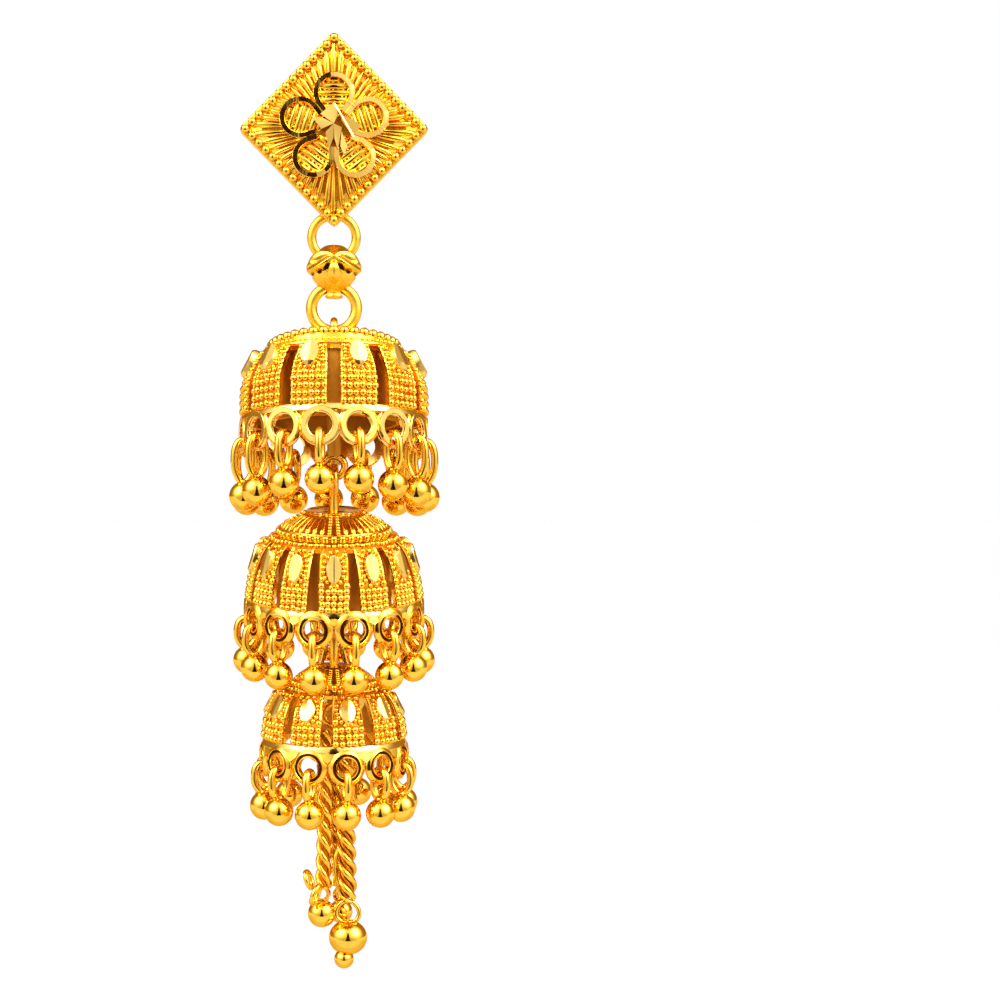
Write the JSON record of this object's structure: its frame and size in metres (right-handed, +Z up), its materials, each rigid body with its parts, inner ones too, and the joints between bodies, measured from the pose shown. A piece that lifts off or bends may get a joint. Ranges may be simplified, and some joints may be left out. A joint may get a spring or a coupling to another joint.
{
  "type": "jhumka drop earring",
  "caption": "Three-tier gold jhumka drop earring: square stud, link bead, granulated bell domes with ball drops, and a chain tassel.",
  "frame": {"origin": "middle of the stud's back face, where the ear post starts and the earring pins on", "axes": "+Z up along the hanging length, +Y backwards along the ear post, -Y the front"},
  "size_m": [0.0167, 0.0182, 0.0747],
  "materials": {
    "polished_gold": "polished 22 carat yellow gold, bright-cut facets",
    "granulated_gold": "22 carat yellow gold set with granules, deeper orange in the recesses",
    "wire_gold": "drawn 22 carat gold wire, smooth and bright"
  },
  "bodies": {
    "stud_root": {"stud": "polished_gold", "ear_post": "wire_gold"},
    "upper_link": {"upper_ring": "wire_gold"},
    "bead_link": {"link_bead": "polished_gold"},
    "lower_link": {"lower_ring": "wire_gold"},
    "upper_dome": {"dome_upper": "granulated_gold", "upper_drop_01": "polished_gold", "upper_drop_02": "polished_gold", "upper_drop_03": "polished_gold", "upper_drop_04": "polished_gold", "upper_drop_05": "polished_gold", "upper_drop_06": "polished_gold", "upper_drop_07": "polished_gold", "upper_drop_08": "polished_gold", "upper_drop_09": "polished_gold", "upper_drop_10": "polished_gold", "upper_drop_11": "polished_gold", "upper_drop_12": "polished_gold", "upper_drop_13": "polished_gold", "upper_drop_14": "polished_gold", "upper_drop_15": "polished_gold"},
    "middle_dome": {"dome_middle": "granulated_gold", "middle_drop_01": "polished_gold", "middle_drop_02": "polished_gold", "middle_drop_03": "polished_gold", "middle_drop_04": "polished_gold", "middle_drop_05": "polished_gold", "middle_drop_06": "polished_gold", "middle_drop_07": "polished_gold", "middle_drop_08": "polished_gold", "middle_drop_09": "polished_gold", "middle_drop_10": "polished_gold", "middle_drop_11": "polished_gold", "middle_drop_12": "polished_gold", "middle_drop_13": "polished_gold", "middle_drop_14": "polished_gold"},
    "lower_dome": {"dome_lower": "granulated_gold", "lower_drop_01": "polished_gold", "lower_drop_02": "polished_gold", "lower_drop_03": "polished_gold", "lower_drop_04": "polished_gold", "lower_drop_05": "polished_gold", "lower_drop_06": "polished_gold", "lower_drop_07": "polished_gold", "lower_drop_08": "polished_gold", "lower_drop_09": "polished_gold", "lower_drop_10": "polished_gold", "lower_drop_11": "polished_gold", "lower_drop_12": "polished_gold", "tassel_chain_left": "wire_gold", "tassel_chain_right": "wire_gold", "tassel_chain_back": "wire_gold", "tassel_ball_left": "polished_gold", "tassel_ball_back": "polished_gold", "tassel_end_drop": "polished_gold", "tassel_link_upper": "wire_gold", "tassel_link_lower": "wire_gold"}
  },
  "joints": [
    {"name": "upper_ring_swing", "type": "hinge", "parent": "stud_root", "child": "upper_link", "pos_m": [0, 0.00075, -0.00674], "axis": [1, 0, 0], "range_deg": [-25, 25]},
    {"name": "link_bead_swing", "type": "hinge", "parent": "upper_link", "child": "bead_link", "pos_m": [0, 0.00075, -0.00852], "axis": [0, 1, 0], "range_deg": [-25, 25]},
    {"name": "lower_ring_swing", "type": "hinge", "parent": "bead_link", "child": "lower_link", "pos_m": [0, 0.00075, -0.0124], "axis": [1, 0, 0], "range_deg": [-15, 15]},
    {"name": "upper_dome_swing", "type": "hinge", "parent": "lower_link", "child": "upper_dome", "pos_m": [0, 0.00075, -0.0142], "axis": [0, 1, 0], "range_deg": [-20, 20]},
    {"name": "middle_dome_swing", "type": "hinge", "parent": "upper_dome", "child": "middle_dome", "pos_m": [0, 0.00075, -0.02769], "axis": [1, 0, 0], "range_deg": [-18, 18]},
    {"name": "lower_dome_swing", "type": "hinge", "parent": "middle_dome", "child": "lower_dome", "pos_m": [0, 0.00075, -0.04031], "axis": [1, 0, 0], "range_deg": [-10, 10]}
  ]
}
